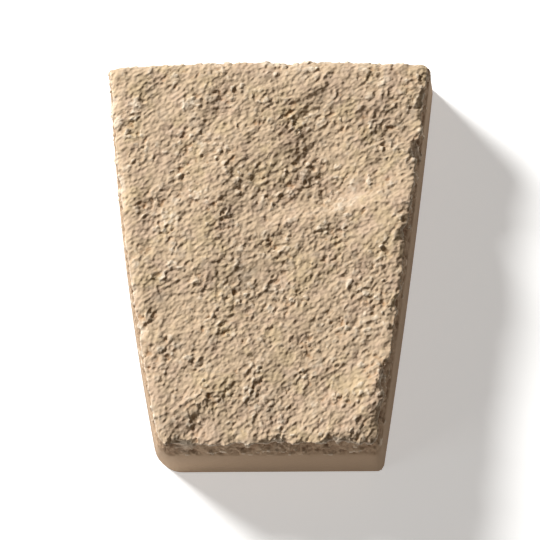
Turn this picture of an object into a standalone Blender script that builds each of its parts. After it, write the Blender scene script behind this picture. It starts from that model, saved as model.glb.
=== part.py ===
"""Rock-faced keystone of cast stone, one solid block.

The block lies on its flat back. The back is the plane z = 0, +Z points out of the rock face, +Y runs
from the narrow underside to the wide, slightly arched top, and +X is the right hand of someone who
looks at the face. The origin is the centre of the back.

Across the stone, shares run from -1 at the left side to 1 at the right side. Up the stone they run
from -1 at the underside to 1 at the top. Lengths are in metres.
"""
import math

import bmesh
import bpy
from mathutils import Vector, noise

# The wedge, measured at the back
HEIGHT = 0.254              # from the underside to the crown of the top
TOP_WIDTH = 0.207
FOOT_WIDTH = 0.139
TOP_RISE = 0.0036           # the top is arched: its crown over its corners
LEFT_BOW = 0.0046           # the left side swells out by this at its middle
RIGHT_BOW = 0.0015
DRAFT = math.radians(3.5)   # every side leans in towards the face, as the mould needs

# The thickness
THICKNESS = 0.0635          # from the back to the highest spot of the rock face
SMOOTH_EDGE = 0.036         # the sides are smooth up to here, and rough from here to the face

# The upright corners: radius at the back, radius at the face
FOOT_LEFT_CORNER = (0.0140, 0.0050)
FOOT_RIGHT_CORNER = (0.0034, 0.0026)
TOP_LEFT_CORNER = (0.0034, 0.0030)
TOP_RIGHT_CORNER = (0.0018, 0.0012)

# The margin, where the face rolls over to each side: how wide, and how far it falls
MARGINS = {
    "left": (0.0080, 0.0020),
    "right": (0.0025, 0.0006),
    "foot": (0.0030, 0.0008),
    "top": (0.0070, 0.0020),
}
ARRIS_LEVEL = 0.0570        # how far from the back the arris is, and the face where it is whole

# The arris: how far in from it a chip still shows, and how far apart its ordinary nibbles are
ARRIS_REACH = 0.0040
ARRIS_WEAR_LENGTH = 0.012
# and how deep they are on each side
ARRIS_WEAR = {"left": 0.0012, "right": 0.0020, "foot": 0.0024, "top": 0.0008}
NOTCH_DROP = 0.9            # how far down a chip goes, as a share of how far in it goes
EDGE_ROUGHNESS = 0.0016
BAND_RINGS = (0.66, 0.33, 0.0)   # how far up the rough band its rings of points lie

# The broken skin of the face: how far apart its bumps are, and how high they stand
WAVE_LENGTH, WAVE_HEIGHT = 0.021, 0.0004
LUMP_LENGTH, LUMP_HEIGHT = 0.0115, 0.0007
HACKLE_LENGTH, HACKLE_HEIGHT = 0.0068, 0.0014
GRAIN_TURN = math.radians(38)   # the bumps are drawn out along this line, up to the right
GRAIN_STRETCH = 1.4

# Flake scars of the face. Each has a line along which it is deepest or, with a minus sign,
# stands highest, and slopes that rise or fall from that line to the whole face on either side.
# (across, up, half length, slope to the upper left, slope to the lower right, turn in degrees, depth)
SCARS = {
    "crown above the ledge": (0.25, 0.80, 0.16, 0.16, 0.03, 22, -0.0020),
    "basin": (0.39, 0.27, 0.52, 0.50, 0.09, 13, 0.0039),
    "lip of the basin": (0.37, 0.17, 0.52, 0.055, 0.10, 13, -0.0015),
    "ledge under the crown": (0.32, 0.51, 0.19, 0.24, 0.50, 24, 0.0046),
    "lip of the ledge": (0.27, 0.70, 0.12, 0.04, 0.14, 29, 0.0018),
    "dip by the right corner": (0.82, 0.60, 0.18, 0.18, 0.26, 25, 0.0032),
    "right shoulder": (1.00, 0.14, 0.32, 0.26, 0.14, 55, -0.0042),
    "step left of the basin": (-0.33, 0.27, 0.34, 0.20, 0.12, 73, -0.0022),
    "middle slope": (0.01, -0.21, 0.30, 0.34, 0.55, 50, 0.0028),
    "left brow": (-0.43, -0.10, 0.18, 0.24, 0.13, 55, -0.0022),
    "left trough": (-0.77, -0.28, 0.26, 0.14, 0.22, 63, 0.0024),
    "dip by the left side": (-0.79, 0.17, 0.18, 0.12, 0.11, 70, 0.0013),
    "dip by the left corner": (-0.66, 0.78, 0.12, 0.13, 0.15, 40, 0.0016),
    "dip left of the crown": (-0.30, 0.72, 0.16, 0.13, 0.20, 30, 0.0016),
    "pit right of the middle": (0.47, -0.40, 0.10, 0.10, 0.10, 45, 0.0020),
    "lower shoulder": (0.74, -0.84, 0.52, 0.20, 0.30, 36, -0.0050),
    "lower shoulder's peak": (0.92, -0.66, 0.20, 0.16, 0.10, 36, -0.0042),
    "lower left brow": (-0.51, -0.72, 0.20, 0.11, 0.10, 42, -0.0028),
    "hollow above the foot": (-0.68, -0.90, 0.15, 0.12, 0.12, 25, 0.0032),
    "brow above the foot": (-0.15, -0.99, 0.16, 0.10, 0.07, 20, -0.0016),
    "right margin": (1.00, -0.42, 0.36, 0.12, 0.05, 82, -0.0019),
}

# Chips out of the arris: side, share along it, half length, how far in
CHIPS = (
    ("right", 0.80, 0.0060, 0.0014),
    ("right", 0.55, 0.0085, 0.0034),
    ("right", 0.10, 0.0080, 0.0026),
    ("right", -0.27, 0.0060, 0.0020),
    ("right", -0.67, 0.0140, 0.0022),
    ("left", 0.35, 0.0080, 0.0010),
    ("left", -0.40, 0.0060, 0.0012),
    ("top", 0.10, 0.0120, 0.0010),
    ("foot", -0.78, 0.0110, 0.0022),
    ("foot", -0.30, 0.0070, 0.0018),
    ("foot", 0.06, 0.0110, 0.0016),
    ("foot", 0.60, 0.0090, 0.0018),
)

CELL = 0.0038               # how finely the broken skin is cut
SEED = Vector((3.7, 11.3, 5.9))

STONE_COLOUR = (0.49, 0.37, 0.25, 1.0)
STONE_ROUGHNESS = 0.92


def mix(low, high, share):
    return low + (high - low) * share


def hump(distance, reach):
    """1 at the middle and 0 at the reach, round at both."""
    share = min(abs(distance) / reach, 1.0)
    return (1.0 - share * share) ** 2


def round_corner(along, up, radius):
    """Pulls a point of a square corner onto the round one, both measured from its two sides."""
    if along >= radius or up >= radius:
        return along, up
    in_along, in_up = radius - along, radius - up
    pull = max(in_along, in_up) / math.hypot(in_along, in_up)
    return radius - in_along * pull, radius - in_up * pull


def on_outline(across, up, depth):
    """The point of the block at shares 0 to 1 across and up, and at this depth from the back."""
    inset = depth * math.tan(DRAFT)
    width = mix(FOOT_WIDTH, TOP_WIDTH, up) - 2.0 * inset
    height = HEIGHT - TOP_RISE - 2.0 * inset
    to_face = depth / THICKNESS
    corners = {
        (0, 0): FOOT_LEFT_CORNER, (1, 0): FOOT_RIGHT_CORNER,
        (0, 1): TOP_LEFT_CORNER, (1, 1): TOP_RIGHT_CORNER,
    }
    right, top = int(across > 0.5), int(up > 0.5)
    radius = mix(*corners[right, top], to_face)
    along = width * (1.0 - across if right else across)
    rise = height * (1.0 - up if top else up)
    along, rise = round_corner(along, rise, radius)
    across = 1.0 - along / width if right else along / width
    up = 1.0 - rise / height if top else rise / height
    swell = 4.0 * up * (1.0 - up)
    bow = mix(-LEFT_BOW, RIGHT_BOW, across) * swell
    arch = TOP_RISE * 4.0 * across * (1.0 - across) * up
    x = width * (across - 0.5) + bow
    y = -HEIGHT / 2.0 + inset + height * up + arch
    return Vector((x, y, depth))


def grained(point, length):
    """Noise from -1 to 1 with bumps this far apart, drawn out along the grain of the face."""
    turned_x = point.x * math.cos(GRAIN_TURN) + point.y * math.sin(GRAIN_TURN)
    turned_y = point.y * math.cos(GRAIN_TURN) - point.x * math.sin(GRAIN_TURN)
    sample = Vector((turned_x / GRAIN_STRETCH, turned_y, point.z)) / length
    return noise.noise(sample + SEED)


def scar_depth(point, scar):
    """How far a flake scar lowers the face at this point."""
    across, up, half_length, upper_slope, lower_slope, turn, depth = scar
    half_height = HEIGHT / 2.0
    half_width = mix(FOOT_WIDTH, TOP_WIDTH, (up + 1.0) / 2.0) / 2.0
    turn = math.radians(turn)
    offset_x = point.x - across * half_width
    offset_y = point.y - up * half_height
    run = offset_x * math.cos(turn) + offset_y * math.sin(turn)
    fall = offset_x * math.sin(turn) - offset_y * math.cos(turn)
    reach = (upper_slope if fall < 0.0 else lower_slope) * half_height
    slope = max(1.0 - abs(fall) / reach, 0.0)
    return depth * slope * hump(run, half_length * half_height)


def margin_fall(across, up):
    """How far the face has rolled over towards its nearest sides."""
    width = mix(FOOT_WIDTH, TOP_WIDTH, up)
    distances = {
        "left": across * width,
        "right": (1.0 - across) * width,
        "foot": up * HEIGHT,
        "top": (1.0 - up) * HEIGHT,
    }
    falls = [0.0]
    for side, (reach, fall) in MARGINS.items():
        roll = 1.0 - min(distances[side] / reach, 1.0)
        falls.append(fall * roll ** 2)
    return max(falls)


def face_fall(point):
    """How far the broken face lies under its own flat at this point."""
    fall = sum(scar_depth(point, scar) for scar in SCARS.values())
    fall -= WAVE_HEIGHT * grained(point, WAVE_LENGTH)
    fall -= LUMP_HEIGHT * grained(point, LUMP_LENGTH)
    return fall + HACKLE_HEIGHT * abs(grained(point, HACKLE_LENGTH))


def nibble(side, share):
    """How far the arris of one side is cut back at this share along it."""
    length = FOOT_WIDTH / 2.0 if side in ("top", "foot") else HEIGHT / 2.0
    lane = list(ARRIS_WEAR).index(side)
    sample = Vector((share * length / ARRIS_WEAR_LENGTH, lane, 0.0))
    cut = ARRIS_WEAR[side] * abs(noise.noise(sample + SEED))
    for chip_side, place, half_length, depth in CHIPS:
        if chip_side == side:
            cut += depth * hump((share - place) * length, half_length)
    return cut


def arris_cut(across, up):
    """The shift of a point near the arris and how far down the chips take it."""
    width = mix(FOOT_WIDTH, TOP_WIDTH, up)
    cuts = {
        "left": (nibble("left", 2.0 * up - 1.0), across * width, Vector((1.0, 0.0, 0.0))),
        "right": (nibble("right", 2.0 * up - 1.0), (1.0 - across) * width, Vector((-1.0, 0.0, 0.0))),
        "foot": (nibble("foot", 2.0 * across - 1.0), up * HEIGHT, Vector((0.0, 1.0, 0.0))),
        "top": (nibble("top", 2.0 * across - 1.0), (1.0 - up) * HEIGHT, Vector((0.0, -1.0, 0.0))),
    }
    shift = Vector()
    drop = 0.0
    for cut, distance, inwards in cuts.values():
        fade = math.exp(-(distance / ARRIS_REACH) ** 2)
        shift += inwards * cut * fade
        drop = max(drop, cut * NOTCH_DROP * fade)
    return shift, drop


def face_points(columns, rows):
    """The broken face as a grid of points, its highest spot at the full thickness."""
    grid = {}
    for row in range(rows + 1):
        for column in range(columns + 1):
            across, up = column / columns, row / rows
            point = on_outline(across, up, ARRIS_LEVEL)
            shift, drop = arris_cut(across, up)
            fall = face_fall(point) + margin_fall(across, up) + drop
            grid[column, row] = point + shift - Vector((0.0, 0.0, fall))
    rise = THICKNESS - max(point.z for point in grid.values())
    for point in grid.values():
        point.z += rise
    return grid


def rim(columns, rows):
    """The grid places around the face, against the clock from the lower left corner."""
    foot = [(column, 0) for column in range(columns)]
    right = [(columns, row) for row in range(rows)]
    top = [(column, rows) for column in range(columns, 0, -1)]
    left = [(0, row) for row in range(rows, 0, -1)]
    return foot + right + top + left


def edge_points(face, columns, rows):
    """The rings of points down the sides: two in the rough band, one where it ends, and the back."""
    rings = []
    for share in BAND_RINGS:
        ring = []
        for place in rim(columns, rows):
            across, up = place[0] / columns, place[1] / rows
            depth = mix(SMOOTH_EDGE, face[place].z, share)
            point = on_outline(across, up, depth)
            shift, _ = arris_cut(across, up)
            pitted = noise.noise(point / HACKLE_LENGTH + SEED) * EDGE_ROUGHNESS
            inwards = Vector((-point.x, -point.y, 0.0)).normalized()
            ring.append(point + shift * share ** 2 + inwards * abs(pitted) * share)
        rings.append(ring)
    rings.append([on_outline(place[0] / columns, place[1] / rows, 0.0) for place in rim(columns, rows)])
    return rings


def keystone_mesh():
    columns = round((TOP_WIDTH + FOOT_WIDTH) / 2.0 / CELL)
    rows = round(HEIGHT / CELL)
    face = face_points(columns, rows)
    rings = edge_points(face, columns, rows)

    shape = bmesh.new()
    vertices = {place: shape.verts.new(point) for place, point in face.items()}
    for row in range(rows):
        for column in range(columns):
            shape.faces.new([
                vertices[column, row], vertices[column + 1, row],
                vertices[column + 1, row + 1], vertices[column, row + 1],
            ])
    upper = [vertices[place] for place in rim(columns, rows)]
    for ring in rings:
        lower = [shape.verts.new(point) for point in ring]
        for this in range(len(lower)):
            following = (this + 1) % len(lower)
            shape.faces.new([lower[this], lower[following], upper[following], upper[this]])
        upper = lower
    shape.faces.new(list(reversed(upper)))
    sides = [vertex.co.x for vertex in shape.verts]
    off_centre = (min(sides) + max(sides)) / 2.0
    bmesh.ops.translate(shape, verts=shape.verts, vec=(-off_centre, 0.0, 0.0))

    mesh = bpy.data.meshes.new("keystone")
    shape.to_mesh(mesh)
    shape.free()
    return mesh


def cast_stone():
    material = bpy.data.materials.new("cast stone")
    material.use_nodes = True
    shader = material.node_tree.nodes["Principled BSDF"]
    shader.inputs["Base Color"].default_value = STONE_COLOUR
    shader.inputs["Roughness"].default_value = STONE_ROUGHNESS
    shader.inputs["Metallic"].default_value = 0.0
    return material


for leftover in list(bpy.data.objects):
    bpy.data.objects.remove(leftover)

keystone = bpy.data.objects.new("keystone", keystone_mesh())
keystone.data.materials.append(cast_stone())
bpy.context.scene.collection.objects.link(keystone)
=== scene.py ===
import math

import bpy
from mathutils import Matrix, Vector, noise


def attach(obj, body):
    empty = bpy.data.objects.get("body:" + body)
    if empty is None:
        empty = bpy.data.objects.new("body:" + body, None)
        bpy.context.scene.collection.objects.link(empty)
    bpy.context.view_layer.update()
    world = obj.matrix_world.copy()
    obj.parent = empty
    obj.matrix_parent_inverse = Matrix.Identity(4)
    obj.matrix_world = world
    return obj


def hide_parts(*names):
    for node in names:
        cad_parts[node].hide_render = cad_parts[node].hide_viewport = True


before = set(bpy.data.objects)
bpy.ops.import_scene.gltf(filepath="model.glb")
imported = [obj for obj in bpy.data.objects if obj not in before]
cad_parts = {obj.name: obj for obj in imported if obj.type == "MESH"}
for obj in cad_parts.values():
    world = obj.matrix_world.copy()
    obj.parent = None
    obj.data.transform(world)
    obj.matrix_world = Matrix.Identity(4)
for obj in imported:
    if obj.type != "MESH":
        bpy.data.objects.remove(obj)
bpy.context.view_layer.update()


# The block. A keystone of cast stone in one piece, poured face down in a mould and struck off flat
# at the back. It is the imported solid, cut finer over the broken face and the broken upper part of
# the sides, and eased so that no facet of the solid shows.
SMOOTH_EDGE = 0.036
EDGE_STRIP = 0.0015          # a narrow row of faces that ends the smooth sides cleanly
FACE_CUTS = 4
EASING = 6

bpy.ops.object.select_all(action="DESELECT")
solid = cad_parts["keystone"]
stone = bpy.data.objects.new("stone_block", solid.data.copy())
bpy.context.scene.collection.objects.link(stone)
stone.data.materials.clear()
stone.select_set(True)
bpy.context.view_layer.objects.active = stone

bpy.ops.object.mode_set(mode="EDIT")
bpy.ops.mesh.select_all(action="SELECT")
bpy.ops.mesh.remove_doubles(threshold=0.00001)
bpy.ops.mesh.tris_convert_to_quads(face_threshold=math.radians(60), shape_threshold=math.radians(60))
bpy.ops.mesh.bisect(plane_co=(0.0, 0.0, SMOOTH_EDGE - EDGE_STRIP), plane_no=(0.0, 0.0, 1.0))
bpy.ops.mesh.select_all(action="DESELECT")
bpy.ops.object.mode_set(mode="OBJECT")
for face in stone.data.polygons:
    face.select = face.center.z > SMOOTH_EDGE
bpy.ops.object.mode_set(mode="EDIT")
bpy.ops.mesh.select_mode(type="FACE")
bpy.ops.mesh.subdivide(number_cuts=FACE_CUTS)
bpy.ops.object.mode_set(mode="OBJECT")

FADE = 0.003                 # how far above the smooth sides the break is at its full roughness
PATCH = 0.019                # how far apart the calm and the lively patches of the face are
LEAST_LIVELY, USUAL_LIVELY, LIVELY_SWING = 0.25, 0.72, 0.9


def clamped(value, low=0.0):
    return min(max(value, low), 1.0)


def roughness_at(point):
    """0 on the smooth sides and 1 on the broken skin."""
    return clamped((point.z - SMOOTH_EDGE) / FADE)


def sideways(normal):
    """0 where the surface looks up and 1 where it looks to the side."""
    return clamped((0.9 - normal.z) / 0.7)


broken = stone.vertex_groups.new(name="broken")
flank = stone.vertex_groups.new(name="flank")
for vertex in stone.data.vertices:
    weight = roughness_at(vertex.co)
    lively = USUAL_LIVELY + noise.noise(vertex.co / PATCH) * LIVELY_SWING
    if weight > 0.0:
        broken.add([vertex.index], weight * clamped(lively, LEAST_LIVELY), "REPLACE")
        flank.add([vertex.index], weight * sideways(vertex.normal), "REPLACE")

easing = stone.modifiers.new("ease the facets", "SMOOTH")
easing.factor = 0.5
easing.iterations = EASING
easing.vertex_group = "broken"
bpy.ops.object.modifier_apply(modifier=easing.name)

bpy.ops.object.select_all(action="DESELECT")
stone.select_set(True)
eased = [vertex.co.copy() for vertex in stone.data.vertices]
outward = [vertex.normal.copy() for vertex in stone.data.vertices]

# The broken skin. The mould was taken off split rock, so the face carries its hackle: short sharp
# flakes and pits a few millimetres apart, drawn out from the lower left to the upper right.
GRAIN_TURN = math.radians(38)
bpy.ops.object.empty_add(rotation=(0.0, 0.0, GRAIN_TURN))
grain = bpy.context.active_object
grain.scale = (1.25, 1.0, 1.0)
bpy.ops.object.select_all(action="DESELECT")
stone.select_set(True)
bpy.context.view_layer.objects.active = stone


def work_in(name, kind, size, height, group="broken", middle=0.5, **settings):
    """Works one texture into the broken skin, along its normals, and applies it."""
    texture = bpy.data.textures.new(name, kind)
    texture.noise_scale = size
    for setting, value in settings.items():
        setattr(texture, setting, value)
    displace = stone.modifiers.new(name, "DISPLACE")
    displace.texture = texture
    displace.texture_coords = "OBJECT"
    displace.texture_coords_object = grain
    displace.vertex_group = group
    displace.strength = height
    displace.mid_level = middle
    bpy.ops.object.modifier_apply(modifier=name)
    bpy.data.textures.remove(texture)


work_in("breaks", "CLOUDS", 0.0060, 0.0064, "flank", 0.60, noise_basis="ORIGINAL_PERLIN", noise_depth=2)
work_in("splits", "VORONOI", 0.0042, 0.0022, "flank", 0.55, color_mode="POSITION")
work_in("lumps", "CLOUDS", 0.0060, 0.0010, noise_basis="ORIGINAL_PERLIN", noise_depth=1)
work_in("flakes", "VORONOI", 0.0034, 0.0016, color_mode="POSITION")
work_in("chips", "VORONOI", 0.0022, 0.0018, color_mode="POSITION")
work_in("grit", "CLOUDS", 0.0018, 0.0009, noise_basis="IMPROVED_PERLIN", noise_depth=1)
bpy.data.objects.remove(grain)

# The skin is measured for its colour: how far each spot stands out, which carries the painted
# highlights on crests and painted shade in pits, how far it looks to the side, and whether it is
# broken.
SKIN = ("crest", "side", "rough")
for name in SKIN:
    stone.data.attributes.new(name, "FLOAT", "POINT")
crest, side, rough = (stone.data.attributes[name] for name in SKIN)
for vertex, before, normal in zip(stone.data.vertices, eased, outward):
    crest.data[vertex.index].value = (vertex.co - before).dot(normal)
    side.data[vertex.index].value = sideways(normal)
    rough.data[vertex.index].value = roughness_at(before)

bpy.ops.object.shade_smooth_by_angle(angle=math.radians(55))


class Wire:
    """A socket of the stone's shader, on which sums can be written."""

    def __init__(self, tree, socket):
        self.tree, self.socket = tree, socket

    def sum(self, operation, *values):
        node = self.tree.nodes.new("ShaderNodeMath")
        node.operation = operation
        for slot, value in zip(node.inputs, values):
            if isinstance(value, Wire):
                self.tree.links.new(value.socket, slot)
            else:
                slot.default_value = value
        return Wire(self.tree, node.outputs[0])

    def __add__(self, other):
        return self.sum("ADD", self, other)

    def __sub__(self, other):
        return self.sum("SUBTRACT", self, other)

    def __rsub__(self, other):
        return self.sum("SUBTRACT", other, self)

    def __mul__(self, other):
        return self.sum("MULTIPLY", self, other)

    __radd__ = __add__
    __rmul__ = __mul__

    def node(self, kind, settings=None, output=0, **values):
        """Any other node: its type, its settings, and the values or links of its sockets."""
        node = self.tree.nodes.new(kind)
        for setting, value in (settings or {}).items():
            setattr(node, setting, value)
        for name, value in values.items():
            numbered = name.startswith("at_")
            slot = node.inputs[int(name[3:]) if numbered else name.replace("_", " ")]
            if isinstance(value, Wire):
                self.tree.links.new(value.socket, slot)
            else:
                slot.default_value = value
        return Wire(self.tree, node.outputs[output])


# Its finish. Buff cast stone, coloured through, a little pinker, yellower or greyer from patch to
# patch, with a painted highlight on the crests of the break and painted shade in its pits, and matt all
# over.
finish = bpy.data.materials.new("cast_stone")
finish.use_nodes = True
tree = finish.node_tree
shader = tree.nodes["Principled BSDF"]
place = Wire(tree, tree.nodes.new("ShaderNodeTexCoord").outputs["Object"])

BUFF = (0.50, 0.375, 0.255, 1.0)
PINK_BUFF = (0.49, 0.36, 0.255, 1.0)
YELLOW_BUFF = (0.50, 0.38, 0.24, 1.0)
GREY_BUFF = (0.45, 0.352, 0.255, 1.0)
SIDE_BROWN_AND_PAINTED_SHADE = (0.37, 0.258, 0.168, 1.0)
WORN_EDGE = (0.66, 0.58, 0.48, 1.0)
PIT_PAINTED_SHADE = (0.36, 0.19, 0.085, 1.0)
SIDE_PIT_PAINTED_SHADE = (0.27, 0.165, 0.10, 1.0)
SIDE_CREST_PAINTED_HIGHLIGHT = (0.52, 0.39, 0.275, 1.0)
CREST_PAINTED_HIGHLIGHT = (0.69, 0.59, 0.465, 1.0)


def cloud(size, detail=2.0, seed=0.0):
    """Noise from 0 to 1 with patches of this size."""
    return place.node("ShaderNodeTexNoise", {"noise_dimensions": "4D"}, Vector=place, W=seed,
                      Scale=1.0 / size, Detail=detail, Roughness=0.55)


def blended(first, second, share):
    return place.node("ShaderNodeMix", {"data_type": "RGBA"}, 2, at_0=share, at_6=first, at_7=second)


def stepped(value, low, high):
    return place.node("ShaderNodeMapRange", {"interpolation_type": "SMOOTHSTEP"}, Value=value,
                      From_Min=low, From_Max=high)


colour = blended(BUFF, PINK_BUFF, stepped(cloud(0.012, seed=1.0), 0.45, 0.65))
colour = blended(colour, YELLOW_BUFF, stepped(cloud(0.016, seed=2.0), 0.5, 0.7))
colour = blended(colour, GREY_BUFF, stepped(cloud(0.009, seed=3.0), 0.55, 0.75))
standing = place.node("ShaderNodeAttribute", {"attribute_name": "crest"}, 2)
on_side = place.node("ShaderNodeAttribute", {"attribute_name": "side"}, 2)
is_rough = place.node("ShaderNodeAttribute", {"attribute_name": "rough"}, 2)
# The sides are darker and browner: partly the smooth cast sides' own colour and partly painted shade,
# keyed to how far the surface looks to the side.
colour = blended(colour, SIDE_BROWN_AND_PAINTED_SHADE, stepped(on_side, 0.45, 0.95))
colour = blended(colour, WORN_EDGE, on_side * (1.0 - on_side) * 2.4 * is_rough)
# Painted shade: the pits of the break on the face are darkened in the colour, where raking light would
# leave them in shadow.
colour = blended(colour, PIT_PAINTED_SHADE, stepped(standing, -0.0002, -0.0013) * (1.0 - on_side) * 0.75)
# Painted highlight: the crests of the break are paler in the colour, standing in for the light they
# catch.
colour = blended(colour, CREST_PAINTED_HIGHLIGHT, stepped(standing, 0.0001, 0.0010) * 0.8)
# Painted shade on the sides: the pits of the broken flank are darkened brown in the colour.
colour = blended(colour, SIDE_PIT_PAINTED_SHADE, stepped(standing, -0.0002, -0.0022) * on_side * 0.7)
# Painted highlight on the sides: the crests of the broken flank are paler in the colour.
colour = blended(colour, SIDE_CREST_PAINTED_HIGHLIGHT, stepped(standing, 0.0002, 0.0016) * on_side * 0.6)
tree.links.new(colour.socket, shader.inputs["Base Color"])
shader.inputs["Roughness"].default_value = 0.93
shader.inputs["Specular IOR Level"].default_value = 0.2

drawn_out = place.node("ShaderNodeMapping", {"vector_type": "TEXTURE"}, Vector=place,
                       Rotation=(0.0, 0.0, GRAIN_TURN), Scale=(1.25, 1.0, 1.0))
grit = place.node("ShaderNodeTexNoise", Vector=drawn_out, Scale=1.0 / 0.0021, Detail=0.0)
dents = place.node("ShaderNodeTexVoronoi", Vector=drawn_out, Scale=1.0 / 0.0031)
MIDDLE_HEIGHT = 1.05
SMOOTH_SHARE = 0.18
broken_skin = (grit * 1.2 + dents - MIDDLE_HEIGHT) * (is_rough * (1.0 - SMOOTH_SHARE) + SMOOTH_SHARE)
bump = place.node("ShaderNodeBump", Height=broken_skin, Strength=1.0, Distance=0.0007)
tree.links.new(bump.socket, shader.inputs["Normal"])
stone.data.materials.append(finish)

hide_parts("keystone")
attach(stone, "root")


# The floor. A plain pale table top, matt and well past the picture on every side. It glows a little,
# so that it stays pale where no lamp reaches it.
bpy.ops.mesh.primitive_plane_add(size=6.0, location=(0.0, 0.0, -0.0002))
floor = bpy.context.active_object
floor.name = "floor"
pale = bpy.data.materials.new("pale_floor")
pale.use_nodes = True
table_top = pale.node_tree.nodes["Principled BSDF"]
table_top.inputs["Base Color"].default_value = (0.9, 0.9, 0.9, 1.0)
table_top.inputs["Roughness"].default_value = 0.9
table_top.inputs["Emission Color"].default_value = (1.0, 1.0, 1.0, 1.0)
table_top.inputs["Emission Strength"].default_value = 0.42
floor.data.materials.append(pale)

# The light. A round softbox on the upper left rakes across the face. A small lamp low on the left
# lights the underside, as a bounce card would, and a warm room fills the rest.
LIGHT_FROM = Vector((-0.64, 0.56, 0.52)).normalized()
LIGHT_DISTANCE = 3.5
bpy.ops.object.light_add(type="AREA", location=LIGHT_FROM * LIGHT_DISTANCE)
softbox = bpy.context.active_object
softbox.rotation_euler = LIGHT_FROM.to_track_quat("Z", "Y").to_euler()
softbox.data.shape = "DISK"
softbox.data.size = 1.0
softbox.data.energy = 226.0
softbox.data.color = (0.99, 0.995, 0.985)

FILL_FROM = Vector((-1.3, -0.7, 0.35))
bpy.ops.object.light_add(type="AREA", location=FILL_FROM)
fill = bpy.context.active_object
fill.rotation_euler = FILL_FROM.to_track_quat("Z", "Y").to_euler()
fill.data.size = 0.6
fill.data.energy = 4.0

world = bpy.data.worlds.new("room")
bpy.context.scene.world = world
world.use_nodes = True
room = world.node_tree.nodes["Background"]
room.inputs["Color"].default_value = (1.0, 0.80, 0.60, 1.0)
room.inputs["Strength"].default_value = 0.10
bpy.context.scene.view_settings.view_transform = "Standard"

# The camera. It looks down on the stone from its underside end, a little from the right, through a
# long lens.
AIM = Vector((0.0001, -0.0048, 0.0281))
DISTANCE = 1.972
SIDEWAYS, TILT, ROLL = math.radians(2.0), math.radians(16.1), math.radians(0.1)
LENS, SENSOR = 211.2, 36.0

back_to_camera = Vector((
    math.sin(SIDEWAYS) * math.cos(TILT),
    -math.sin(TILT),
    math.cos(SIDEWAYS) * math.cos(TILT),
))
bpy.ops.object.camera_add(location=AIM + DISTANCE * back_to_camera)
camera = bpy.context.active_object
ahead = -back_to_camera
to_right = ahead.cross(Vector((0.0, 1.0, 0.0))).normalized()
upward = to_right.cross(ahead)
rolled_right = to_right * math.cos(ROLL) + upward * math.sin(ROLL)
rolled_up = upward * math.cos(ROLL) - to_right * math.sin(ROLL)
camera.rotation_euler = Matrix((rolled_right, rolled_up, back_to_camera)).transposed().to_euler()
camera.data.lens = LENS
camera.data.sensor_width = SENSOR
bpy.context.scene.camera = camera
